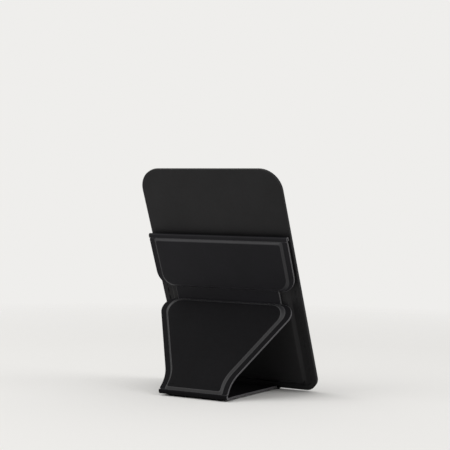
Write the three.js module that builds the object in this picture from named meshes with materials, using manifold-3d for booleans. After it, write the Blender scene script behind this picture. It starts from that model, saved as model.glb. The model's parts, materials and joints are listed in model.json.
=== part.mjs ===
// A folding stick-on card holder, open as a stand.
// One strip of coated leather runs from the pocket's mouth through a flap, a spine, a leg and a foot,
// and comes back to the bottom edge of the backing. Boards inside the strip make its panels stiff.
// The part stands by itself: the foot lies flat on the floor and the backing leans on the leg.
// Units are millimetres and degrees.

import * as THREE from "three";
import { mergeVertices } from "three/addons/utils/BufferGeometryUtils.js";
import Module from "manifold-3d";

const wasm = await Module();
wasm.setup();

// Driving sizes: the stack that sticks to its carrier
const holder_width = 65;
const holder_height = 96.4;
const backing_corner_top = 9;
const backing_corner_bottom = 5.5;
const bond = 0.08;
const pad_thick = 0.3;
const pad_inset = 2.5;
const liner_thick = 0.34;
const backing_board_thick = 0.4;
const backing_board_inset = 0.9;
const skin_thick = 0.4;

// Driving sizes: the card pocket
const card_slot_width = 55;
const card_slot_depth = 1;
const pocket_skin_thick = 0.45;
const pocket_lining_thick = 0.24;
const pocket_bottom_rim = 3.4;
const pocket_slope = 1.2;
const mouth_height = 67.3;
const catch_plate_width = 44;
const catch_plate_height = 12;
const catch_plate_thick = 0.18;
const seam_inset = 2.2;
const seam_width = 0.5;
const seam_thick = 0.25;
const seam_corner = 0.1;

// Driving sizes: the folding strip
const fold_gap = 0.3;
const strip_lining_thick = 0.34;
const panel_board_thick = 0.6;
const panel_rim = 2.8;
const field_slope = 0.5;
const field_end = 0.6;
const mouth_pivot_rise = 1.3;
const mouth_loop_rise = 1.7;
const mouth_loop_thick = 0.5;
const flap_reach = 23.3;
const flap_side_inset = 0.2;
const flap_corner = 6.5;
const field_corner = 5;
const spine_reach = 5.4;
const spine_half_width = 24.3;
const spine_corner = 0.4;
const leg_top_half_width = 33.5;
const leg_top_corner = 5;
const neck_half_width = 15;
const neck_from_foot = 7.5;
const neck_corner = 14;
const foot_half_width = 15.8;
const fold_radius = 0.75;
const stand_lean = 67.4;
const base_reach = 43.1;
const base_rear_half_width = 14.6;
const base_rear_s = 3.6;
const end_corner = 0.8;
const web_thick = 0.5;

// Driving sizes: the magnets that keep the strip open or shut
const magnet_radius = 4.5;
const magnet_clearance = 0.1;
const flap_magnet_spacing = 34;
const flap_magnet_from_end = 7.5;
const leg_magnet_spacing = 13.6;
const leg_magnet_from_foot = 10.5;

// Mesh density
const corner_steps = 8;
const loop_steps = 10;
const magnet_sides = 24;

// Levels above the face that sticks, out towards the folding strip
const liner_low = pad_thick + bond;
const backing_board_low = liner_low + liner_thick + bond;
const backing_skin_low = backing_board_low + backing_board_thick + bond;
const backing_top = backing_skin_low + skin_thick;
const pocket_rim_low = backing_top + bond;
const pocket_rim_top = pocket_rim_low + pocket_skin_thick;
const pocket_lining_low = backing_top + card_slot_depth;
const pocket_skin_low = pocket_lining_low + pocket_lining_thick + bond;
const pocket_top = pocket_skin_low + pocket_skin_thick;

// Levels inside the strip, from its inner face
const rim_skin_low = strip_lining_thick + bond;
const rim_thick = rim_skin_low + skin_thick;
const strip_board_low = rim_skin_low;
const field_skin_low = strip_board_low + panel_board_thick + bond;
const panel_thick = field_skin_low + skin_thick;

// Places of the fold lines, as [height up the backing, distance out from the sticking face]
const strip_level = pocket_top + fold_gap;
const flap_pivot_level = pocket_top + fold_gap / 2;
const strip_offset = strip_level - flap_pivot_level;
const half_rim = rim_thick / 2;
const flap_half_width = holder_width / 2 - flap_side_inset;
const mouth_pivot_height = mouth_height + mouth_pivot_rise;
const mouth_loop_height = mouth_height + mouth_loop_rise;
const spine_pivot_height = mouth_pivot_height - flap_reach;
const leg_pivot_height = spine_pivot_height - spine_reach;
const leg_pivot_level = strip_level + half_rim;

// The floor runs at the lean angle to the backing, and the stack stands on the bottom web
const lean = THREE.MathUtils.degToRad(stand_lean);
const web_low = bond + web_thick;
const floor_drop = Math.cos(lean) * pocket_rim_top + Math.sin(lean) * web_low;

function fromFloor(along, above) {
  const rise = above - floor_drop;
  return [along * Math.cos(lean) + rise * Math.sin(lean), along * Math.sin(lean) - rise * Math.cos(lean)];
}

const foot_pivot_above = panel_thick - half_rim;
const foot_pivot = fromFloor(base_rear_s + base_reach, foot_pivot_above);
const leg_drop = leg_pivot_height - foot_pivot[0];
const leg_out = foot_pivot[1] - leg_pivot_level;
const leg_reach = Math.hypot(leg_drop, leg_out);
const leg_angle = Math.atan2(leg_out, leg_drop);
const foot_opening = Math.PI - leg_angle - lean;
const foot_tangent = fold_radius / Math.tan(foot_opening / 2);
const leg_end_gap = half_rim * Math.tan(leg_angle / 2) + fold_gap / 2;

// Outlines

// A polygon's corners, each moved in by the insets of the edge before it and the edge after it
function insetCorners(corners, insets) {
  const count = corners.length;
  return corners.map((corner, i) => {
    const before = corners[(i + count - 1) % count];
    const after = corners[(i + 1) % count];
    const a = new THREE.Vector2(corner[0] - before[0], corner[1] - before[1]).normalize();
    const b = new THREE.Vector2(after[0] - corner[0], after[1] - corner[1]).normalize();
    const inset_a = insets[(i + count - 1) % count];
    const inset_b = insets[i];
    const cross = a.x * b.y - a.y * b.x;
    const x = corner[0] + (b.x * inset_a - a.x * inset_b) / cross;
    const y = corner[1] + (b.y * inset_a - a.y * inset_b) / cross;
    return [x, y];
  });
}

// The corners rounded, each with the same number of points
function roundCorners(corners, radii) {
  const count = corners.length;
  const points = [];
  corners.forEach((corner, i) => {
    const here = new THREE.Vector2(...corner);
    const to_before = new THREE.Vector2(...corners[(i + count - 1) % count]).sub(here).normalize();
    const to_after = new THREE.Vector2(...corners[(i + 1) % count]).sub(here).normalize();
    const half = Math.acos(THREE.MathUtils.clamp(to_before.dot(to_after), -1, 1)) / 2;
    const centre_way = to_before.clone().add(to_after).normalize();
    const centre = here.clone().addScaledVector(centre_way, radii[i] / Math.sin(half));
    const first = here.clone().addScaledVector(to_before, radii[i] / Math.tan(half)).sub(centre);
    const last = here.clone().addScaledVector(to_after, radii[i] / Math.tan(half)).sub(centre);
    const start = Math.atan2(first.y, first.x);
    const turn = Math.atan2(first.cross(last), first.dot(last));
    for (let step = 0; step <= corner_steps; step += 1) {
      const angle = start + (turn * step) / corner_steps;
      points.push([centre.x + radii[i] * Math.cos(angle), centre.y + radii[i] * Math.sin(angle)]);
    }
  });
  return points;
}

// The four corners of an upright rectangle, from the low left one round against the clock
function rectangle(half_width, low, high) {
  return [[-half_width, low], [half_width, low], [half_width, high], [-half_width, high]];
}

function roundedRectangle(half_width, low, high, low_radius, high_radius) {
  return roundCorners(rectangle(half_width, low, high), [low_radius, low_radius, high_radius, high_radius]);
}

// Closed bodies

// Rings of equal length joined in order, with both ends capped
function loft(rings) {
  const count = rings[0].points.length;
  const positions = [];
  const index = [];
  rings.forEach((ring) => ring.points.forEach(([x, y]) => positions.push(x, y, ring.z)));
  for (let level = 0; level + 1 < rings.length; level += 1) {
    for (let i = 0; i < count; i += 1) {
      const next = (i + 1) % count;
      const a = level * count + i;
      const b = level * count + next;
      index.push(a, b, b + count, a, b + count, a + count);
    }
  }
  const cap = (ring, first, reversed) => {
    const contour = ring.points.map(([x, y]) => new THREE.Vector2(x, y));
    THREE.ShapeUtils.triangulateShape(contour, []).forEach(([a, b, c]) => {
      index.push(first + a, first + (reversed ? c : b), first + (reversed ? b : c));
    });
  };
  cap(rings[0], 0, true);
  cap(rings[rings.length - 1], (rings.length - 1) * count, false);
  const geometry = new THREE.BufferGeometry();
  geometry.setAttribute("position", new THREE.Float32BufferAttribute(positions, 3));
  geometry.setIndex(index);
  return geometry;
}

function plate(points, low, high) {
  return loft([{ points, z: low }, { points, z: high }]);
}

// A side profile of [height, distance out] points, as wide as given on both sides of the middle
function profile(points, half_width) {
  const contour = points.map(([height, out]) => new THREE.Vector2(height, out));
  const ordered = THREE.ShapeUtils.isClockWise(contour) ? [...points].reverse() : points;
  const geometry = plate(ordered, -half_width, half_width);
  const position = geometry.getAttribute("position");
  for (let i = 0; i < position.count; i += 1) {
    const height = position.getX(i);
    const out = position.getY(i);
    position.setXYZ(i, position.getZ(i), height, out);
  }
  return geometry;
}

// A skin pressed down round a raised field, hollow under the field for what lies there
function pressedSkin(outer, field, wide_field, low, thick, raised) {
  const under = low + raised;
  return loft([
    { points: wide_field, z: under },
    { points: wide_field, z: low },
    { points: outer, z: low },
    { points: outer, z: low + thick },
    { points: wide_field.map(([x, y], i) => widen([x, y], field[i])), z: low + thick },
    { points: field, z: under + thick },
  ]);
}

// A point of the slope's foot: the wide field's point moved out by as much as the field stands in
function widen([x, y], [field_x, field_y]) {
  return [2 * x - field_x, 2 * y - field_y];
}

function solid(geometry) {
  const bare = geometry.clone();
  bare.deleteAttribute("normal");
  bare.deleteAttribute("uv");
  const merged = mergeVertices(bare);
  const vertices = Float32Array.from(merged.getAttribute("position").array);
  const triangles = Uint32Array.from(merged.getIndex().array);
  return new wasm.Manifold(new wasm.Mesh({ numProp: 3, vertProperties: vertices, triVerts: triangles }));
}

function cut(geometry, tools) {
  const result = tools.reduce((body, tool) => body.subtract(solid(tool)), solid(geometry));
  const mesh = result.getMesh();
  const cut_geometry = new THREE.BufferGeometry();
  cut_geometry.setAttribute("position", new THREE.Float32BufferAttribute(mesh.vertProperties, 3));
  cut_geometry.setIndex(Array.from(mesh.triVerts));
  return cut_geometry;
}

function disc(radius, low, high, x, y) {
  const geometry = new THREE.CylinderGeometry(radius, radius, high - low, magnet_sides);
  geometry.rotateX(Math.PI / 2);
  geometry.translate(x, y, (low + high) / 2);
  return geometry;
}

function block(width, height, low, high, y) {
  const geometry = new THREE.BoxGeometry(width, height, high - low);
  geometry.translate(0, y, (low + high) / 2);
  return geometry;
}

// Materials, from the photograph
const leather = { color: 0x232227, roughness: 0.62, metalness: 0 };
const lining = { color: 0x1b1a1e, roughness: 0.85, metalness: 0 };
const board = { color: 0x5b5a58, roughness: 0.9, metalness: 0 };
const steel = { color: 0xa9abad, roughness: 0.35, metalness: 1 };
const adhesive = { color: 0xd9dadb, roughness: 0.4, metalness: 0 };
const thread = { color: 0x151416, roughness: 0.8, metalness: 0 };

function add(group, name, geometry, look) {
  const mesh = new THREE.Mesh(geometry, new THREE.MeshStandardMaterial(look));
  geometry.computeVertexNormals();
  mesh.name = name;
  group.add(mesh);
}

// The stack that sticks to its carrier
function addBacking(group) {
  const half = holder_width / 2;
  const sheet = (inset, low, high) => {
    const low_radius = Math.max(backing_corner_bottom - inset, end_corner);
    const high_radius = Math.max(backing_corner_top - inset, end_corner);
    return plate(roundedRectangle(half - inset, inset, holder_height - inset, low_radius, high_radius), low, high);
  };
  add(group, "adhesive_pad", sheet(pad_inset, 0, pad_thick), adhesive);
  add(group, "backing_liner", sheet(0, liner_low, liner_low + liner_thick), lining);
  const board_high = backing_board_low + backing_board_thick;
  add(group, "backing_board", sheet(backing_board_inset, backing_board_low, board_high), board);
  add(group, "backing_skin", sheet(0, backing_skin_low, backing_top), leather);
}

// The card pocket: a skin pressed up over the slot, open at its mouth
function addPocket(group) {
  const half = holder_width / 2;
  const side_rim = (holder_width - card_slot_width) / 2;
  const raised = pocket_skin_low - pocket_rim_low;
  const over_mouth = 2 * side_rim;
  const corners = rectangle(half, 0, mouth_height + over_mouth);
  const insets = [pocket_bottom_rim, side_rim, side_rim, side_rim];
  const corner_radii = [backing_corner_bottom, backing_corner_bottom, end_corner, end_corner];
  const slot_radii = [end_corner, end_corner, end_corner, end_corner];
  const outer = roundCorners(corners, corner_radii);
  const slot = roundCorners(insetCorners(corners, insets), slot_radii);
  const crown_insets = insets.map((inset) => inset + pocket_slope / 2);
  const crown = roundCorners(insetCorners(corners, crown_insets), slot_radii);
  const skin = pressedSkin(outer, crown, slot, pocket_rim_low, pocket_skin_thick, raised);
  const cut_y = mouth_height + over_mouth;
  const above_mouth = block(2 * holder_width, 2 * over_mouth, -holder_width, holder_width, cut_y);
  add(group, "pocket_front", cut(skin, [above_mouth]), leather);
  const lining_insets = insets.map((inset) => inset + bond);
  lining_insets[2] = over_mouth;
  const lining_points = roundCorners(insetCorners(corners, lining_insets), slot_radii);
  const lining_high = pocket_lining_low + pocket_lining_thick;
  const plate_y = spine_pivot_height + flap_magnet_from_end;
  const plate_low = lining_high - catch_plate_thick;
  const window_width = catch_plate_width + 2 * bond;
  const window_height = catch_plate_height + 2 * bond;
  const window_high = lining_high + catch_plate_thick;
  const window = block(window_width, window_height, pocket_lining_low - catch_plate_thick, window_high, plate_y);
  const lining_sheet = plate(lining_points, pocket_lining_low, lining_high);
  add(group, "pocket_lining", cut(lining_sheet, [window]), lining);
  const catch_plate = block(catch_plate_width, catch_plate_height, plate_low, lining_high, plate_y);
  add(group, "catch_plate", catch_plate, steel);
}

// The thread that sews the pocket to the backing, down one side, along the bottom and up the other
function addSeam(group) {
  const outer_half = holder_width / 2 - seam_inset + seam_width / 2;
  const inner_half = outer_half - seam_width;
  const outer_low = seam_inset - seam_width / 2;
  const inner_low = outer_low + seam_width;
  const top = mouth_height - seam_inset;
  const inner_radius = backing_corner_bottom - seam_inset - seam_width / 2;
  const outer_radius = inner_radius + seam_width;
  const corners = [
    [-outer_half, outer_low],
    [outer_half, outer_low],
    [outer_half, top],
    [inner_half, top],
    [inner_half, inner_low],
    [-inner_half, inner_low],
    [-inner_half, top],
    [-outer_half, top],
  ];
  const foot_radii = [outer_radius, outer_radius, seam_corner, seam_corner];
  const inside_radii = [inner_radius, inner_radius, seam_corner, seam_corner];
  const radii = [...foot_radii, ...inside_radii];
  const low = pocket_rim_top + bond;
  add(group, "seam_thread", plate(roundCorners(corners, radii), low, low + seam_thick), thread);
}

// A stiff panel of the strip: lining, board and pressed skin, hanging down from its pivot
function addPanel(group, name, shape, level) {
  const outer = roundCorners(shape.corners, shape.radii);
  const inset_by = (extra) => insetCorners(shape.corners, shape.insets.map((inset) => inset + extra));
  const foot = field_slope / 2;
  const field = roundCorners(inset_by(foot), shape.field_radii);
  const wide_field = roundCorners(inset_by(0), shape.field_radii);
  const board_outline = roundCorners(inset_by(bond), shape.field_radii);
  const raised = field_skin_low - rim_skin_low;
  add(group, name + "_lining", plate(outer, level, level + strip_lining_thick), lining);
  const skin = pressedSkin(outer, field, wide_field, level + rim_skin_low, skin_thick, raised);
  add(group, name + "_skin", skin, leather);
  const board_low = level + strip_board_low;
  const board_high = board_low + panel_board_thick;
  const magnets = shape.magnets || [];
  const hole_radius = magnet_radius + magnet_clearance;
  const hole_low = board_low - panel_board_thick;
  const hole_high = board_high + panel_board_thick;
  const holes = magnets.map(([x, y]) => disc(hole_radius, hole_low, hole_high, x, y));
  const board_body = plate(board_outline, board_low, board_high);
  add(group, name + "_board", holes.length ? cut(board_body, holes) : board_body, board);
  magnets.forEach(([x, y], i) => {
    const side = i === 0 ? "left" : "right";
    add(group, name + "_magnet_" + side, disc(magnet_radius, board_low, board_high, x, y), steel);
  });
}

// The flap that hangs over the pocket from the mouth
function addFlap(group) {
  const low = fold_gap - flap_reach;
  const high = mouth_height - mouth_pivot_height;
  const magnet_y = flap_magnet_from_end - flap_reach;
  addPanel(group, "flap", {
    corners: rectangle(flap_half_width, low, high),
    radii: [flap_corner, flap_corner, end_corner, end_corner],
    insets: [field_end, panel_rim, field_end, panel_rim],
    field_radii: [field_corner, field_corner, end_corner, end_corner],
    magnets: [[-flap_magnet_spacing / 2, magnet_y], [flap_magnet_spacing / 2, magnet_y]],
  }, strip_offset);
}

// The narrow spine between the flap and the leg, with no board
function addSpine(group) {
  const low = leg_end_gap - spine_reach;
  const points = roundedRectangle(spine_half_width, low, -fold_gap, spine_corner, spine_corner);
  const skin_low = strip_offset + rim_skin_low;
  add(group, "spine_lining", plate(points, strip_offset, strip_offset + strip_lining_thick), lining);
  add(group, "spine_skin", plate(points, skin_low, skin_low + skin_thick), leather);
}

// The leg, which narrows to a neck and opens again a little at the foot
function addLeg(group) {
  const high = -leg_end_gap;
  const low = foot_tangent + bond - leg_reach;
  const neck = neck_from_foot - leg_reach;
  const magnet_y = leg_magnet_from_foot - leg_reach;
  addPanel(group, "leg", {
    corners: [
      [-foot_half_width, low],
      [foot_half_width, low],
      [neck_half_width, neck],
      [leg_top_half_width, high],
      [-leg_top_half_width, high],
      [-neck_half_width, neck],
    ],
    radii: [end_corner, end_corner, neck_corner, leg_top_corner, leg_top_corner, neck_corner],
    insets: [field_end, panel_rim, panel_rim, field_end, panel_rim, panel_rim],
    field_radii: [end_corner, end_corner, neck_corner, field_corner, field_corner, neck_corner],
    magnets: [[-leg_magnet_spacing / 2, magnet_y], [leg_magnet_spacing / 2, magnet_y]],
  }, -half_rim);
}

// The base, which lies on the floor between the foot and the backing
function addBase(group) {
  const high = -foot_tangent - bond;
  addPanel(group, "base", {
    corners: [
      [-base_rear_half_width, -base_reach],
      [base_rear_half_width, -base_reach],
      [neck_half_width, -neck_from_foot],
      [foot_half_width, high],
      [-foot_half_width, high],
      [-neck_half_width, -neck_from_foot],
    ],
    radii: [end_corner, end_corner, neck_corner, end_corner, end_corner, neck_corner],
    insets: [field_end, panel_rim, panel_rim, field_end, panel_rim, panel_rim],
    field_radii: [end_corner, end_corner, neck_corner, end_corner, end_corner, neck_corner],
  }, -half_rim);
}

// The strip's bends

function arcPoints(centre, radius, start, end) {
  const points = [];
  for (let step = 0; step <= loop_steps; step += 1) {
    const angle = start + ((end - start) * step) / loop_steps;
    points.push([centre[0] + radius * Math.cos(angle), centre[1] + radius * Math.sin(angle)]);
  }
  return points;
}

// The loop over the pocket's mouth, from the pocket's skin to the flap
function addMouthWeb(group) {
  const back = pocket_top - mouth_loop_thick;
  const front = strip_level + rim_thick;
  const outer_radius = (front - back) / 2;
  const inner_radius = outer_radius - mouth_loop_thick;
  const centre = [mouth_loop_height - outer_radius, (front + back) / 2];
  const low = mouth_height + fold_gap;
  const points = [
    [low, back + mouth_loop_thick],
    ...arcPoints(centre, inner_radius, -Math.PI / 2, Math.PI / 2),
    [low, front - mouth_loop_thick],
    [low, front],
    ...arcPoints(centre, outer_radius, Math.PI / 2, -Math.PI / 2),
    [low, back],
  ];
  add(group, "mouth_fold_web", profile(points, flap_half_width), leather);
}

// The bend at the foot, from the base round to the leg, in the base's own frame
function addFootWeb(group) {
  const half_opening = foot_opening / 2;
  const reach = fold_radius / Math.sin(half_opening);
  const centre = [-reach * Math.cos(half_opening), -reach * Math.sin(half_opening)];
  const start = Math.PI / 2;
  const end = start - (Math.PI - foot_opening);
  const points = [
    ...arcPoints(centre, fold_radius + half_rim, start, end),
    ...arcPoints(centre, fold_radius - half_rim, end, start),
  ];
  add(group, "foot_fold_web", profile(points, foot_half_width), leather);
}

// The bottom web, which holds the stack up and reaches forward to the base
function addBottomWeb(group) {
  const corner_above = Math.sin(lean) * web_low;
  const corner_s = Math.sin(lean) * pocket_rim_top;
  const inner_above = corner_above - bond;
  const inner_out = (floor_drop - inner_above - bond * Math.sin(lean)) / Math.cos(lean);
  const rim_above = panel_thick - rim_thick;
  const front_s = base_rear_s - fold_gap;
  const bend_s = corner_s + web_thick;
  const points = [
    [-web_low, liner_low],
    [-bond, liner_low],
    [-bond, inner_out],
    fromFloor(bend_s, inner_above),
    fromFloor(front_s, rim_above + web_thick),
    fromFloor(front_s, rim_above),
    fromFloor(bend_s, 0),
    [-web_low, pocket_rim_top],
  ];
  add(group, "bottom_fold_web", profile(points, base_rear_half_width), leather);
}

// The whole part, first flat against its own backing, then leaned and set on the floor
const holder = new THREE.Group();
holder.rotation.x = Math.PI - lean;

addBacking(holder);
addPocket(holder);
addSeam(holder);
addMouthWeb(holder);
addBottomWeb(holder);

const flap_group = new THREE.Group();
flap_group.position.set(0, mouth_pivot_height, flap_pivot_level);
addFlap(flap_group);
holder.add(flap_group);

const spine_group = new THREE.Group();
spine_group.position.set(0, spine_pivot_height, flap_pivot_level);
addSpine(spine_group);
holder.add(spine_group);

const leg_group = new THREE.Group();
leg_group.position.set(0, leg_pivot_height, leg_pivot_level);
leg_group.rotation.x = -leg_angle;
addLeg(leg_group);
holder.add(leg_group);

const base_group = new THREE.Group();
base_group.position.set(0, foot_pivot[0], foot_pivot[1]);
base_group.rotation.x = lean;
addBase(base_group);
addFootWeb(base_group);
holder.add(base_group);

// The origin is the middle of the floor under the part
const part = new THREE.Group();
part.add(holder);
part.updateMatrixWorld(true);
const bounds = new THREE.Box3().setFromObject(part, true);
holder.position.y = -(bounds.min.y + bounds.max.y) / 2;
holder.position.z = -bounds.min.z;

export default part;
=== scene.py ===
import json
import math

import bmesh
import bpy
from mathutils import Matrix, Vector


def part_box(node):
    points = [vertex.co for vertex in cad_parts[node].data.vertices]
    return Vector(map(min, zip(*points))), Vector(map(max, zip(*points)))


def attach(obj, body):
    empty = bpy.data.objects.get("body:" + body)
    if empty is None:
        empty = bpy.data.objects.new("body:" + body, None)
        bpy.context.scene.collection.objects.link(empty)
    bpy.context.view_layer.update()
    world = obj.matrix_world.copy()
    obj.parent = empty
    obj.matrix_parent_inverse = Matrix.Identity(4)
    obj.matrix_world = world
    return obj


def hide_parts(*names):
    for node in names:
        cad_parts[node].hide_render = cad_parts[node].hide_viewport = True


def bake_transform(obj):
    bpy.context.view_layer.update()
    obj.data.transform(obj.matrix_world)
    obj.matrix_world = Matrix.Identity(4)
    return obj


# A folding stick-on card holder in black leather, open as a stand. Sizes are in metres.

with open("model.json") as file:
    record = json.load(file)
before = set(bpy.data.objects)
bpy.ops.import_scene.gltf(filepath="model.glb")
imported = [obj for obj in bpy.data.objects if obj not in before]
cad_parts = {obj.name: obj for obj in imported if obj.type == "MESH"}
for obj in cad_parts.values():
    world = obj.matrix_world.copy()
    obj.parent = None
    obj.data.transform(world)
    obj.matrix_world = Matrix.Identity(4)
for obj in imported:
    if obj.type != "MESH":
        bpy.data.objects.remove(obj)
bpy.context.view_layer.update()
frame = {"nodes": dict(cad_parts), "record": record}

# Sizes of the strip's layers and of the pocket, as in the CAD model
BOND = 0.00008
SKIN_THICK = 0.0004
POCKET_SKIN_THICK = 0.00045
STRIP_LINING_THICK = 0.00034
FIELD_RAISE = 0.00068
RIM_THICK = STRIP_LINING_THICK + BOND + SKIN_THICK
HALF_RIM = RIM_THICK / 2
FOLD_GAP = 0.0003
PANEL_RIM = 0.0028
FIELD_END = 0.0006
END_CORNER = 0.0008
NECK_CORNER = 0.014
MOUTH_LOOP_THICK = 0.0005
MOUTH_HEIGHT = 0.0673
FOLD_RADIUS = 0.00075
CREASE_RADIUS = 0.0006
HOLDER_HEIGHT = 0.0964
BACKING_CORNER_LOW = 0.0055
BACKING_CORNER_HIGH = 0.009
PAD_THICK = 0.0003
LINER_LOW = 0.00038
LINER_TOP = 0.00072
BACKING_TOP = 0.00168
POCKET_CORNER = 0.0055
POCKET_BOTTOM_RIM = 0.0034
POCKET_SIDE_RIM = 0.005
MOUTH_LOOP_RISE = 0.0017
FLAP_CORNER = 0.0065
FLAP_FIELD_CORNER = 0.005
LEG_TOP_HALF = 0.0335
LEG_TOP_CORNER = 0.005
NECK_HALF = 0.015
NECK_FROM_FOOT = 0.0075
FOOT_HALF = 0.0158
BASE_REACH = 0.0431
BASE_REAR_HALF = 0.0146

# Sizes of the finer forms
EDGE_ROUND = 0.00008
BACKING_ROUND = 0.00035
BACKING_ROUND_SHARE = 0.3
COVER_SEAT = 0.00074
COVER_WALL = 0.00082
FIELD_SLOPE = 0.001
FIELD_GROOVE = 0.00005
FIELD_CROWN = 0.00007
CROWN_STEPS = ((1.5, 0.6), (3, 1))
POCKET_SLOPE = 0.0016
STITCH_LENGTH = 0.0026
STITCH_PITCH = 0.0035
STITCH_WIDTH = 0.00055
STITCH_HEIGHT = 0.0003
SEAM_INSET = 0.0022
CORNER_STEPS = 12
SLOPE_STEPS = 6
ARC_STEPS = 16
STITCH_DIVISIONS = 3
SHARP_ANGLE = math.radians(40)

# Directions of the leaning backing, and the places of the folds
record = frame["record"]
adhesive_face = record["mounts"][0]
BACK = Vector(adhesive_face["axis"]).normalized()
OUT = -BACK
ACROSS = Vector((1, 0, 0))
UP = OUT.cross(ACROSS).normalized()
PIVOTS = {joint["name"]: Vector(joint["pos_m"]) for joint in record["behaviour"]["joints"]}


def along_backing(point):
    """[height up the backing, distance out from the sticking face] of a point."""
    return (point - BOTTOM).dot(UP), (point - BOTTOM).dot(OUT)


def place(origin, across, up):
    """A matrix that puts local x along across and local y along up."""
    return Matrix.Translation(origin) @ Matrix((across, up, across.cross(up))).transposed().to_4x4()


def half_width(node):
    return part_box(node)[1].x


PAD_INSET = half_width("backing_skin") - half_width("adhesive_pad")
BOTTOM = Vector(adhesive_face["pos_m"]) - UP * HOLDER_HEIGHT / 2

HOLDER = place(BOTTOM, ACROSS, UP)
FLAP = place(PIVOTS["mouth_fold"], ACROSS, UP)
LEG_DOWN = (PIVOTS["foot_fold"] - PIVOTS["leg_fold"]).normalized()
LEG_REACH = (PIVOTS["foot_fold"] - PIVOTS["leg_fold"]).length
LEG = place(PIVOTS["leg_fold"], ACROSS, -LEG_DOWN)
BASE_BACK = Vector((0, 1, 0))
BASE = place(PIVOTS["foot_fold"], ACROSS, -BASE_BACK)

MOUTH_PIVOT = along_backing(PIVOTS["mouth_fold"])
SPINE_PIVOT = along_backing(PIVOTS["spine_fold"])
LEG_PIVOT = along_backing(PIVOTS["leg_fold"])
STRIP_LEVEL = LEG_PIVOT[1] - HALF_RIM
POCKET_TOP = STRIP_LEVEL - FOLD_GAP
POCKET_RIM_LOW = BACKING_TOP + BOND
POCKET_RIM_TOP = POCKET_RIM_LOW + POCKET_SKIN_THICK
FLAP_REACH = MOUTH_PIVOT[0] - SPINE_PIVOT[0]
LEG_ANGLE = math.acos(max(-1, min(1, LEG_DOWN.dot(-UP))))
FOOT_OPENING = math.acos(max(-1, min(1, (-LEG_DOWN).dot(BASE_BACK))))
FOOT_TANGENT = FOLD_RADIUS / math.tan(FOOT_OPENING / 2)
LEG_END_GAP = HALF_RIM * math.tan(LEG_ANGLE / 2) + FOLD_GAP / 2


# Materials

CLOUD_SCALE = 70
SHINE_SCALE = 900
SHINE_SPREAD = 0.07
PEBBLE_SCALE = 1900
PEBBLE_BLUR = 0.6
PORE_SCALE = 5200
PEEL_SCALE = 420
PEEL_HEIGHT = 0.00005
BRUSH_SCALE = 2500
BRUSH_HEIGHT = 0.00001
EDGE_SCALE = 3800
STEEL_COLOUR = (0.6, 0.6, 0.61)


def new_material(name, roughness, specular):
    material = bpy.data.materials.new(name)
    material.use_nodes = True
    shader = material.node_tree.nodes["Principled BSDF"]
    shader.inputs["Roughness"].default_value = roughness
    shader.inputs["Specular IOR Level"].default_value = specular
    return material, shader


def node(material, kind, **values):
    made = material.node_tree.nodes.new(kind)
    for name, value in values.items():
        setattr(made, name, value)
    return made


def link(material, source, target):
    material.node_tree.links.new(source, target)


def texture(material, kind, scale, **values):
    """A procedural texture that lies still on the piece."""
    made = node(material, kind, **values)
    made.inputs["Scale"].default_value = scale
    spot = node(material, "ShaderNodeTexCoord")
    link(material, spot.outputs["Object"], made.inputs["Vector"])
    return made


def noise(material, scale, detail):
    made = texture(material, "ShaderNodeTexNoise", scale)
    made.inputs["Detail"].default_value = detail
    return made.outputs["Fac"]


def pebbles(material, scale):
    made = texture(material, "ShaderNodeTexVoronoi", scale, feature="SMOOTH_F1")
    made.inputs["Smoothness"].default_value = PEBBLE_BLUR
    return made.outputs["Distance"]


def tint(material, shader, source, colour, low, high, start=0.3, end=0.7):
    """The base colour, between the colour times low and the colour times high."""
    made = node(material, "ShaderNodeValToRGB")
    first, last = made.color_ramp.elements
    first.position, last.position = start, end
    first.color = (*shade(colour, low), 1)
    last.color = (*shade(colour, high), 1)
    link(material, source, made.inputs["Fac"])
    link(material, made.outputs["Color"], shader.inputs["Base Color"])


def spread(material, source, low, high):
    made = node(material, "ShaderNodeMapRange")
    made.inputs["To Min"].default_value = low
    made.inputs["To Max"].default_value = high
    link(material, source, made.inputs["Value"])
    return made.outputs["Result"]


def bump(material, source, height, strength, under=None):
    made = node(material, "ShaderNodeBump")
    made.inputs["Distance"].default_value = height
    made.inputs["Strength"].default_value = strength
    link(material, source, made.inputs["Height"])
    if under is not None:
        link(material, under, made.inputs["Normal"])
    return made.outputs["Normal"]


def shade(colour, by):
    return tuple(channel * by for channel in colour)


def leather(name, colour, roughness, specular, grain=0.00004):
    """Coated leather: fine pebbles, pores and a faint cloudiness."""
    material, shader = new_material(name, roughness, specular)
    tint(material, shader, noise(material, CLOUD_SCALE, 3), colour, 0.82, 1.2)
    shine = noise(material, SHINE_SCALE, 4)
    shine = spread(material, shine, roughness - SHINE_SPREAD, roughness + SHINE_SPREAD)
    link(material, shine, shader.inputs["Roughness"])
    coarse = bump(material, pebbles(material, PEBBLE_SCALE), grain, 0.55)
    fine = bump(material, noise(material, PORE_SCALE, 3), grain / 2, 0.45, coarse)
    link(material, fine, shader.inputs["Normal"])
    return material


def felted(name, colour, roughness, specular, scale, height):
    """A matte surface of short fibres."""
    material, shader = new_material(name, roughness, specular)
    fibres = noise(material, scale, 6)
    tint(material, shader, fibres, colour, 0.6, 1.4)
    link(material, bump(material, fibres, height, 0.6), shader.inputs["Normal"])
    return material


def film(name, colour, roughness):
    """A satin film with a faint orange peel."""
    material, shader = new_material(name, roughness, 0.4)
    peel = noise(material, PEEL_SCALE, 2)
    tint(material, shader, peel, colour, 0.96, 1.03)
    link(material, bump(material, peel, PEEL_HEIGHT, 0.25), shader.inputs["Normal"])
    return material


def plated_steel(name):
    material, shader = new_material(name, 0.35, 0.5)
    shader.inputs["Metallic"].default_value = 1
    grain = noise(material, BRUSH_SCALE, 3)
    tint(material, shader, grain, STEEL_COLOUR, 0.85, 1)
    link(material, bump(material, grain, BRUSH_HEIGHT, 0.4), shader.inputs["Normal"])
    return material


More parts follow.
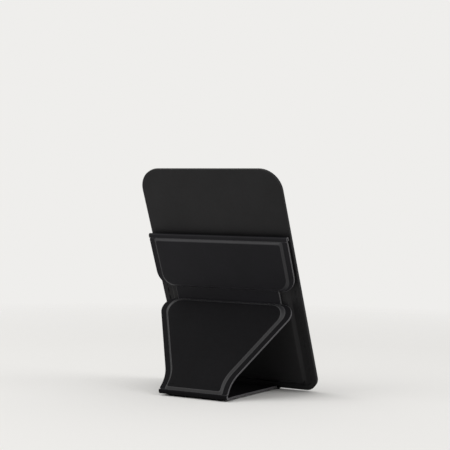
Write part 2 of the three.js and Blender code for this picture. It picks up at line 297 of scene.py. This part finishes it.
# Painted light: the backing's copy of the black leather is lighter and glossier than the flap's, for the
# stronger light on it; the flap's tint is the leather's own tone.
LIT_BACKING_LEATHER = leather("backing_leather_painted_light", (0.0085, 0.0082, 0.009), 0.6, 0.24)
FLAP_LEATHER = leather("flap_leather", (0.0055, 0.0052, 0.0072), 0.55, 0.17)
# Painted shade: the leg's copy of the black leather is darker and less glossy, for the leg facing away from
# the light; the base, foot fold and hidden leather nodes take it too.
SHADED_LEG_LEATHER = leather("leg_leather_painted_shade", (0.0026, 0.0024, 0.0032), 0.6, 0.07)
# Painted highlights: lighter, glossier copies of the flap and leg leather, put on the slopes round the
# raised fields where the embossed edges catch the light.
FLAP_SLOPE_HIGHLIGHT = leather("flap_slope_painted_highlight", (0.018, 0.0175, 0.0205), 0.48, 0.35)
LEG_SLOPE_HIGHLIGHT = leather("leg_slope_painted_highlight", (0.021, 0.0205, 0.0225), 0.46, 0.4)
LINING = leather("lining_leather", (0.0035, 0.0032, 0.0038), 0.8, 0.05, 0.00003)
RAW_EDGE = felted("raw_edge", (0.115, 0.112, 0.118), 0.9, 0.1, EDGE_SCALE, 0.00006)
DARK_EDGE = felted("dark_edge", (0.014, 0.013, 0.015), 0.85, 0.15, EDGE_SCALE, 0.00005)
BOARD = felted("board", (0.1, 0.1, 0.1), 0.9, 0.1, 2600, 0.00005)
THREAD = felted("thread", (0.009, 0.009, 0.01), 0.75, 0.2, 6000, 0.00008)
ADHESIVE = film("adhesive_film", (0.42, 0.42, 0.43), 0.42)
STEEL = plated_steel("plated_steel")


# Outlines

def inset(corners, insets):
    """A polygon's corners, each moved in by the insets of the edges before and after it."""
    moved = []
    for i, corner in enumerate(corners):
        here = Vector(corner)
        a = (here - Vector(corners[i - 1])).normalized()
        b = (Vector(corners[(i + 1) % len(corners)]) - here).normalized()
        before, after = insets[i - 1], insets[i]
        cross = a.x * b.y - a.y * b.x
        shift_x = (b.x * before - a.x * after) / cross
        shift_y = (b.y * before - a.y * after) / cross
        moved.append((here.x + shift_x, here.y + shift_y))
    return moved


def rounded(corners, radii):
    """The corners rounded, each with the same number of points."""
    points = []
    for i, corner in enumerate(corners):
        here = Vector(corner)
        to_before = (Vector(corners[i - 1]) - here).normalized()
        to_after = (Vector(corners[(i + 1) % len(corners)]) - here).normalized()
        half = to_before.angle(to_after) / 2
        centre = here + (to_before + to_after).normalized() * radii[i] / math.sin(half)
        first = here + to_before * radii[i] / math.tan(half) - centre
        last = here + to_after * radii[i] / math.tan(half) - centre
        start = math.atan2(first.y, first.x)
        turn = math.atan2(first.x * last.y - first.y * last.x, first.dot(last))
        for step in range(CORNER_STEPS + 1):
            angle = start + turn * step / CORNER_STEPS
            points.append((centre.x + radii[i] * math.cos(angle), centre.y + radii[i] * math.sin(angle)))
    return points


def rectangle(half, low, high):
    return [(-half, low), (half, low), (half, high), (-half, high)]


class Outline:
    """An outline with a raised field inside it."""

    def __init__(self, corners, radii, insets=None, field_radii=None):
        self.corners = corners
        self.radii = radii
        self.insets = insets or [0] * len(corners)
        self.field_radii = field_radii or radii

    def ring(self, extra):
        """The outer edge, moved in."""
        radii = [max(radius - extra, END_CORNER / 4) for radius in self.radii]
        return rounded(inset(self.corners, [extra] * len(self.corners)), radii)

    def field(self, extra):
        """The field's edge, moved in."""
        return rounded(inset(self.corners, [value + extra for value in self.insets]), self.field_radii)


# Meshes

def smooth_piece(name, vertices, faces, finishes, materials, where):
    mesh = bpy.data.meshes.new(name)
    mesh.from_pydata([where @ Vector(point) for point in vertices], [], faces)
    for material in materials:
        mesh.materials.append(material)
    mesh.polygons.foreach_set("material_index", finishes)
    mesh.validate()
    mesh.shade_smooth()
    mesh.set_sharp_from_angle(angle=SHARP_ANGLE)
    piece = bpy.data.objects.new(name, mesh)
    bpy.context.collection.objects.link(piece)
    even = piece.modifiers.new("even_normals", "WEIGHTED_NORMAL")
    even.keep_sharp = True
    return piece


def loft(name, where, rings, bands, caps, materials):
    """Rings of (points, height) joined in order, each band and both caps with the number of its material."""
    count = len(rings[0][0])
    vertices = [(x, y, height) for points, height in rings for x, y in points]
    faces, finishes = [], []
    for level, finish in enumerate(bands):
        for i in range(count):
            a, b = level * count + i, level * count + (i + 1) % count
            faces.append((a, b, b + count, a + count))
            finishes.append(finish)
    top = (len(rings) - 1) * count
    faces.append(tuple(reversed(range(count))))
    faces.append(tuple(range(top, top + count)))
    finishes += list(caps)
    return smooth_piece(name, vertices, faces, finishes, materials, where)


def settle(piece, body, finish, *nodes):
    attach(piece, body)
    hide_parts(*nodes)
    return piece


def sheet(name, where, outline, low, high, faces_finish, edge_finish, edge=EDGE_ROUND):
    """A flat sheet with rounded edges."""
    rings = [
        (outline.ring(edge), low),
        (outline.ring(0), low + edge),
        (outline.ring(0), high - edge),
        (outline.ring(edge), high),
        (outline.ring(3 * edge), high),
    ]
    return loft(name, where, rings, [1, 1, 1, 0], [0, 0], [faces_finish, edge_finish])


def pressed(name, where, outline, low, thick, raised, slope, crown, finishes):
    """A skin pressed down round a raised field, hollow under it. Finishes: face, edge, under and slope."""
    top = low + thick
    rings = [
        (outline.field(2 * EDGE_ROUND), low + raised),
        (outline.field(EDGE_ROUND), low),
        (outline.ring(EDGE_ROUND), low),
        (outline.ring(0), low + EDGE_ROUND),
        (outline.ring(0), top - EDGE_ROUND),
        (outline.ring(EDGE_ROUND), top),
        (outline.field(-slope / 2), top - FIELD_GROOVE),
    ]
    bands = [2, 2, 1, 1, 1, 0]
    for step in range(1, SLOPE_STEPS + 1):
        share = step / SLOPE_STEPS
        rise = share * share * (3 - 2 * share)
        rings.append((outline.field(slope * (share - 0.5)), top + raised * rise))
        bands.append(3)
    for reach, share in CROWN_STEPS:
        rings.append((outline.field(slope * reach), top + raised + crown * share))
        bands.append(0)
    return loft(name, where, rings, bands, [2, 0], finishes)


def bend_points(start, turn_centre, radius, start_angle, end_angle, finish, thick, steps=ARC_STEPS):
    """A strip's side profile: straight from start, round an arc and straight to finish."""
    middle = [start]
    for step in range(steps + 1):
        angle = start_angle + (end_angle - start_angle) * step / steps
        middle.append((turn_centre[0] + radius * math.cos(angle), turn_centre[1] + radius * math.sin(angle)))
    middle.append(finish)
    return thicken(middle, thick)


def thicken(middle, thick):
    left, right = [], []
    for i, point in enumerate(middle):
        before = Vector(middle[max(i - 1, 0)])
        after = Vector(middle[min(i + 1, len(middle) - 1)])
        way = (after - before).normalized()
        side = Vector((-way.y, way.x)) * thick / 2
        left.append(Vector(point) + side)
        right.append(Vector(point) - side)
    return [tuple(point) for point in left + right[::-1]]


def swept(name, where_yz, points, half, face, edge):
    """A side profile swept across the part, with cut edges at both ends."""
    area = sum(points[i - 1][0] * points[i][1] - points[i][0] * points[i - 1][1] for i in range(len(points)))
    ordered = points if area > 0 else points[::-1]
    across = [-half, -half + EDGE_ROUND, -half / 2, 0, half / 2, half - EDGE_ROUND, half]
    rings = [(ordered, x) for x in across]
    return loft(name, where_yz, rings, [1, 0, 0, 0, 0, 1], [1, 1], [face, edge])


def side_place(origin, up, out):
    """A matrix for side profiles: local x up, local y out and local z across."""
    return Matrix.Translation(origin) @ Matrix((up, out, ACROSS)).transposed().to_4x4()


# Pieces of the backing and the pocket

def backing_outline(inset_by):
    half = half_width("backing_skin") - inset_by
    low_corner, high_corner = BACKING_CORNER_LOW - inset_by, BACKING_CORNER_HIGH - inset_by
    corners = rectangle(half, inset_by, HOLDER_HEIGHT - inset_by)
    return Outline(corners, [low_corner, low_corner, high_corner, high_corner])


def make_backing():
    outline = backing_outline(0)
    part_round = BACKING_ROUND * BACKING_ROUND_SHARE
    rings = [
        (outline.ring(COVER_WALL), BACKING_TOP - SKIN_THICK),
        (outline.ring(COVER_WALL), COVER_SEAT),
        (outline.ring(EDGE_ROUND), COVER_SEAT),
        (outline.ring(0), COVER_SEAT + EDGE_ROUND),
        (outline.ring(0), BACKING_TOP - BACKING_ROUND),
        (outline.ring(part_round), BACKING_TOP - part_round),
        (outline.ring(BACKING_ROUND), BACKING_TOP),
        (outline.ring(4 * BACKING_ROUND), BACKING_TOP),
    ]
    # The cover takes the backing's painted-light tint.
    cover = loft("backing_cover", HOLDER, rings, [1, 1, 0, 0, 0, 0, 0], [1, 0], [LIT_BACKING_LEATHER, LINING])
    settle(cover, "backing", "leather", "backing_skin")
    liner = sheet("backing_back", HOLDER, outline, LINER_LOW, LINER_TOP, LINING, DARK_EDGE)
    settle(liner, "backing", "lining", "backing_liner")
    pad = sheet("sticking_pad", HOLDER, backing_outline(PAD_INSET), 0, PAD_THICK, ADHESIVE, ADHESIVE)
    settle(pad, "backing", "adhesive", "adhesive_pad")


def make_pocket():
    half = half_width("pocket_front")
    over_mouth = 0.01
    outline = Outline(
        rectangle(half, 0, MOUTH_HEIGHT + over_mouth),
        [POCKET_CORNER, POCKET_CORNER, END_CORNER, END_CORNER],
        [POCKET_BOTTOM_RIM, POCKET_SIDE_RIM, POCKET_SIDE_RIM, POCKET_SIDE_RIM],
        [END_CORNER * 2] * 4,
    )
    raised = POCKET_TOP - POCKET_RIM_TOP
    # The pocket's face and slopes take the backing's painted-light tint too.
    front = pressed("pocket_face", HOLDER, outline, POCKET_RIM_LOW, POCKET_SKIN_THICK, raised, POCKET_SLOPE,
                    FIELD_CROWN, [LIT_BACKING_LEATHER, DARK_EDGE, LINING, LIT_BACKING_LEATHER])
    mesh = front.data
    shape = bmesh.new()
    shape.from_mesh(mesh)
    mouth = HOLDER @ Vector((0, MOUTH_HEIGHT, 0))
    everything = shape.verts[:] + shape.edges[:] + shape.faces[:]
    bmesh.ops.bisect_plane(shape, geom=everything, plane_co=mouth, plane_no=UP, clear_outer=True)
    open_edges = [edge for edge in shape.edges if edge.is_boundary]
    bmesh.ops.contextual_create(shape, geom=open_edges)
    shape.to_mesh(mesh)
    shape.free()
    settle(front, "backing", "leather", "pocket_front")


def seam_path():
    """Points along the seam: down one side, along the bottom and up the other."""
    half = half_width("pocket_front") - SEAM_INSET
    low, high = SEAM_INSET, MOUTH_HEIGHT - SEAM_INSET
    corner = POCKET_CORNER - SEAM_INSET
    turns = [
        ((-half + corner, low + corner), math.pi),
        ((half - corner, low + corner), 1.5 * math.pi),
    ]
    path = [Vector((-half, high))]
    for (x, y), start in turns:
        for step in range(CORNER_STEPS + 1):
            angle = start + math.pi / 2 * step / CORNER_STEPS
            path.append(Vector((x + corner * math.cos(angle), y + corner * math.sin(angle))))
    path.append(Vector((half, high)))
    return path


def make_stitches():
    path = seam_path()
    shape = bmesh.new()
    travelled, due = 0.0, STITCH_PITCH / 2
    for before, after in zip(path, path[1:]):
        stretch = (after - before).length
        while due <= travelled + stretch:
            spot = before.lerp(after, (due - travelled) / stretch)
            way = math.atan2(after.y - before.y, after.x - before.x)
            size = Matrix.Diagonal((STITCH_LENGTH / 2, STITCH_WIDTH / 2, STITCH_HEIGHT / 2, 1))
            spin = Matrix.Rotation(way, 4, "Z")
            lift = Matrix.Translation((spot.x, spot.y, POCKET_RIM_TOP + STITCH_HEIGHT / 4))
            bmesh.ops.create_icosphere(shape, subdivisions=STITCH_DIVISIONS, radius=1,
                                       matrix=HOLDER @ lift @ spin @ size)
            due += STITCH_PITCH
        travelled += stretch
    for vertex in shape.verts:
        flat = HOLDER.inverted() @ vertex.co
        vertex.co = HOLDER @ Vector((flat.x, flat.y, max(flat.z, POCKET_RIM_TOP - STITCH_HEIGHT / 4)))
    mesh = bpy.data.meshes.new("seam_stitches")
    shape.to_mesh(mesh)
    shape.free()
    mesh.materials.append(THREAD)
    mesh.shade_smooth()
    piece = bpy.data.objects.new("seam_stitches", mesh)
    bpy.context.collection.objects.link(piece)
    settle(piece, "backing", "thread", "seam_thread")


# Pieces of the folding strip

def make_panel(name, where, outline, level, face, slope, crown=FIELD_CROWN):
    lining = sheet(name + "_inner", where, outline, level, level + STRIP_LINING_THICK, LINING, RAW_EDGE)
    settle(lining, name, "lining", name + "_lining")
    low = level + STRIP_LINING_THICK + BOND
    # The slope finish carries the painted highlight on the flap and leg.
    cover = pressed(name + "_cover", where, outline, low, SKIN_THICK, FIELD_RAISE, FIELD_SLOPE, crown,
                    [face, RAW_EDGE, LINING, slope])
    settle(cover, name, "leather", name + "_skin")


def make_flap():
    half = half_width("flap_skin")
    corners = rectangle(half, FOLD_GAP - FLAP_REACH, MOUTH_HEIGHT - MOUTH_PIVOT[0])
    outline = Outline(
        corners,
        [FLAP_CORNER, FLAP_CORNER, END_CORNER, END_CORNER],
        [FIELD_END, PANEL_RIM, FIELD_END, PANEL_RIM],
        [FLAP_FIELD_CORNER, FLAP_FIELD_CORNER, END_CORNER, END_CORNER],
    )
    # The flap's field slopes take the painted highlight.
    make_panel("flap", FLAP, outline, STRIP_LEVEL - MOUTH_PIVOT[1], FLAP_LEATHER, FLAP_SLOPE_HIGHLIGHT)


def make_leg():
    low = FOOT_TANGENT + BOND - LEG_REACH
    neck = NECK_FROM_FOOT - LEG_REACH
    corners = [
        (-FOOT_HALF, low),
        (FOOT_HALF, low),
        (NECK_HALF, neck),
        (LEG_TOP_HALF, -LEG_END_GAP),
        (-LEG_TOP_HALF, -LEG_END_GAP),
        (-NECK_HALF, neck),
    ]
    outline = Outline(
        corners,
        [END_CORNER, END_CORNER, NECK_CORNER, LEG_TOP_CORNER, LEG_TOP_CORNER, NECK_CORNER],
        [FIELD_END, PANEL_RIM, PANEL_RIM, FIELD_END, PANEL_RIM, PANEL_RIM],
    )
    # The leg's face takes the painted shade tint, its field slopes the painted highlight.
    make_panel("leg", LEG, outline, -HALF_RIM, SHADED_LEG_LEATHER, LEG_SLOPE_HIGHLIGHT)


def make_base():
    high = -FOOT_TANGENT - BOND
    corners = [
        (-BASE_REAR_HALF, -BASE_REACH),
        (BASE_REAR_HALF, -BASE_REACH),
        (NECK_HALF, -NECK_FROM_FOOT),
        (FOOT_HALF, high),
        (-FOOT_HALF, high),
        (-NECK_HALF, -NECK_FROM_FOOT),
    ]
    outline = Outline(
        corners,
        [END_CORNER, END_CORNER, NECK_CORNER, END_CORNER, END_CORNER, NECK_CORNER],
        [FIELD_END, PANEL_RIM, PANEL_RIM, FIELD_END, PANEL_RIM, PANEL_RIM],
    )
    # The base takes the leg's painted shade tint on its face and slopes.
    make_panel("base", BASE, outline, -HALF_RIM, SHADED_LEG_LEATHER, SHADED_LEG_LEATHER, 0)


# Bends

SIDE = side_place(BOTTOM, UP, OUT)


def make_mouth_fold():
    """The loop over the pocket's mouth."""
    half = half_width("flap_skin")
    back = POCKET_TOP - MOUTH_LOOP_THICK / 2
    front = STRIP_LEVEL + RIM_THICK - MOUTH_LOOP_THICK / 2
    radius = (front - back) / 2
    centre = (MOUTH_HEIGHT + MOUTH_LOOP_RISE - MOUTH_LOOP_THICK / 2 - radius, (front + back) / 2)
    points = bend_points((MOUTH_HEIGHT, back), centre, radius, -math.pi / 2, math.pi / 2,
                         (MOUTH_HEIGHT, front), MOUTH_LOOP_THICK)
    piece = swept("mouth_fold_loop", SIDE, points, half, FLAP_LEATHER, RAW_EDGE)
    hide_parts("mouth_fold_web")
    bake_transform(piece)


def make_spine():
    """The soft spine, in two halves: a straight upper one and a lower one bent round the crease at the leg's
    fold.
    """
    half = half_width("spine_skin")
    middle_level = STRIP_LEVEL + HALF_RIM
    top = SPINE_PIVOT[0] + FOLD_GAP
    centre_height = (SPINE_PIVOT[0] + LEG_PIVOT[0]) / 2
    zone = 2 * FOLD_GAP
    heights = [top - zone * step / ARC_STEPS for step in range(ARC_STEPS + 1)] + [centre_height]
    upper = swept("spine_upper", SIDE, thicken([(height, middle_level) for height in heights], RIM_THICK),
                  half, FLAP_LEATHER, RAW_EDGE)
    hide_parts("spine_skin", "spine_lining")
    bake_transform(upper)
    tangent = CREASE_RADIUS * math.tan(LEG_ANGLE / 2)
    leg_way = Vector((-math.cos(LEG_ANGLE), math.sin(LEG_ANGLE)))
    pivot = Vector(LEG_PIVOT)
    centre = pivot + Vector((tangent, CREASE_RADIUS))
    finish = pivot + leg_way * LEG_END_GAP
    points = bend_points((centre_height, middle_level), centre, CREASE_RADIUS, -math.pi / 2,
                         -math.pi / 2 - LEG_ANGLE, tuple(finish), RIM_THICK)
    lower = swept("spine_lower", SIDE, points, half, FLAP_LEATHER, RAW_EDGE)
    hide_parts("spine_skin", "spine_lining")
    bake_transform(lower)


def make_foot_fold():
    """The bend at the foot, from the leg to the base."""
    half_opening = FOOT_OPENING / 2
    reach = FOLD_RADIUS / math.sin(half_opening)
    centre = (-reach * math.cos(half_opening), -reach * math.sin(half_opening))
    start_angle = math.pi / 2
    end_angle = start_angle - (math.pi - FOOT_OPENING)
    base_side = side_place(PIVOTS["foot_fold"], -BASE_BACK, Vector((0, 0, -1)))
    leg_way = Vector((-math.cos(FOOT_OPENING), -math.sin(FOOT_OPENING)))
    base_end = (-FOOT_TANGENT - BOND, 0)
    leg_end = tuple(leg_way * (FOOT_TANGENT + BOND))
    points = bend_points(base_end, centre, FOLD_RADIUS, start_angle, end_angle, leg_end, RIM_THICK)
    # The foot fold takes the leg's painted shade tint.
    piece = swept("foot_fold_bend", base_side, points, FOOT_HALF, SHADED_LEG_LEATHER, RAW_EDGE)
    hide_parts("foot_fold_web")
    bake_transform(piece)


def finish_hidden_nodes():
    """Materials for the CAD nodes that stay."""
    looks = {
        # Hidden leather nodes take the leg's painted shade tint.
        "leather": SHADED_LEG_LEATHER,
        "lining": LINING,
        "board": BOARD,
        "steel": STEEL,
        "adhesive": ADHESIVE,
        "thread": THREAD,
    }
    for entry in record["subparts"]:
        carried = frame["nodes"][entry["node"]]
        carried.data.materials.clear()
        carried.data.materials.append(looks[entry["material_slot"]])


# Camera, floor and light

CAMERA_PLACE = Vector((0.27494, -0.45634, 0.07896))
CAMERA_AZIMUTH = math.radians(31.07)
CAMERA_ELEVATION = math.radians(1.216)
CAMERA_ROLL = math.radians(0.785)
FOCAL_PIXELS = 1317.8
PICTURE_PIXELS = 450
SENSOR = 36
PALE = (0.863, 0.855, 0.838)
FLOOR_SIZE = 3
FADE_START = 0.2
FADE_END = 0.45
WORLD_COLOUR = (1, 0.995, 0.985)
WORLD_STRENGTH = 0.62
LAMP_AIM = Vector((0, 0, 0.04))


def make_camera():
    right = Vector((math.cos(CAMERA_AZIMUTH), math.sin(CAMERA_AZIMUTH), 0))
    level = Vector((-math.sin(CAMERA_AZIMUTH), math.cos(CAMERA_AZIMUTH), 0))
    ahead = level * math.cos(CAMERA_ELEVATION) - Vector((0, 0, math.sin(CAMERA_ELEVATION)))
    above = right.cross(ahead)
    rolled_right = right * math.cos(CAMERA_ROLL) + above * math.sin(CAMERA_ROLL)
    rolled_above = rolled_right.cross(ahead)
    data = bpy.data.cameras.new("camera")
    data.sensor_width = SENSOR
    data.lens = FOCAL_PIXELS / PICTURE_PIXELS * SENSOR
    data.clip_start = 0.01
    camera = bpy.data.objects.new("camera", data)
    turn = Matrix((rolled_right, rolled_above, -ahead)).transposed().to_4x4()
    camera.matrix_world = Matrix.Translation(CAMERA_PLACE) @ turn
    bpy.context.collection.objects.link(camera)
    bpy.context.scene.camera = camera


def make_floor():
    """A pale floor that fades into the world's own colour away from the part."""
    shape = bmesh.new()
    bmesh.ops.create_grid(shape, x_segments=8, y_segments=8, size=FLOOR_SIZE)
    mesh = bpy.data.meshes.new("floor")
    shape.to_mesh(mesh)
    shape.free()
    floor = bpy.data.objects.new("floor", mesh)
    bpy.context.collection.objects.link(floor)
    material = bpy.data.materials.new("floor")
    material.use_nodes = True
    material.node_tree.nodes.clear()
    diffuse = node(material, "ShaderNodeBsdfDiffuse")
    diffuse.inputs["Color"].default_value = (*PALE, 1)
    clear = node(material, "ShaderNodeBsdfTransparent")
    where = node(material, "ShaderNodeNewGeometry")
    away = node(material, "ShaderNodeVectorMath", operation="LENGTH")
    fade = node(material, "ShaderNodeMapRange")
    fade.inputs["From Min"].default_value = FADE_START
    fade.inputs["From Max"].default_value = FADE_END
    mix = node(material, "ShaderNodeMixShader")
    output = node(material, "ShaderNodeOutputMaterial")
    link(material, where.outputs["Position"], away.inputs[0])
    link(material, away.outputs["Value"], fade.inputs["Value"])
    link(material, fade.outputs["Result"], mix.inputs["Fac"])
    link(material, diffuse.outputs["BSDF"], mix.inputs[1])
    link(material, clear.outputs["BSDF"], mix.inputs[2])
    link(material, mix.outputs["Shader"], output.inputs["Surface"])
    mesh.materials.append(material)


def make_world():
    world = bpy.data.worlds.new("studio")
    bpy.context.scene.world = world
    world.use_nodes = True
    nodes, links = world.node_tree.nodes, world.node_tree.links
    nodes.clear()
    light = nodes.new("ShaderNodeBackground")
    light.inputs["Color"].default_value = (*WORLD_COLOUR, 1)
    light.inputs["Strength"].default_value = WORLD_STRENGTH
    shown = nodes.new("ShaderNodeBackground")
    shown.inputs["Color"].default_value = (*PALE, 1)
    rays = nodes.new("ShaderNodeLightPath")
    seen = nodes.new("ShaderNodeMath")
    seen.operation = "MAXIMUM"
    any_ray = nodes.new("ShaderNodeMath")
    any_ray.operation = "MAXIMUM"
    mix = nodes.new("ShaderNodeMixShader")
    output = nodes.new("ShaderNodeOutputWorld")
    links.new(rays.outputs["Is Camera Ray"], seen.inputs[0])
    links.new(rays.outputs["Is Glossy Ray"], seen.inputs[1])
    links.new(seen.outputs["Value"], any_ray.inputs[0])
    links.new(rays.outputs["Is Transmission Ray"], any_ray.inputs[1])
    links.new(any_ray.outputs["Value"], mix.inputs["Fac"])
    links.new(light.outputs["Background"], mix.inputs[1])
    links.new(shown.outputs["Background"], mix.inputs[2])
    links.new(mix.outputs["Shader"], output.inputs["Surface"])


def make_lamp(name, spot, size, power):
    data = bpy.data.lights.new(name, "AREA")
    data.size = size
    data.energy = power
    lamp = bpy.data.objects.new(name, data)
    lamp.location = spot
    aim = LAMP_AIM - Vector(spot)
    lamp.rotation_euler = aim.to_track_quat("-Z", "Y").to_euler()
    bpy.context.collection.objects.link(lamp)


make_camera()
make_backing()
make_pocket()
make_stitches()
make_flap()
make_leg()
make_base()
make_mouth_fold()
make_spine()
make_foot_fold()
finish_hidden_nodes()
make_floor()
make_world()
make_lamp("key_lamp", (-0.45, -0.5, 0.9), 0.8, 4.6)
make_lamp("side_lamp", (0.9, 0.1, 0.7), 0.6, 2.3)
bpy.context.scene.view_settings.view_transform = "Standard"
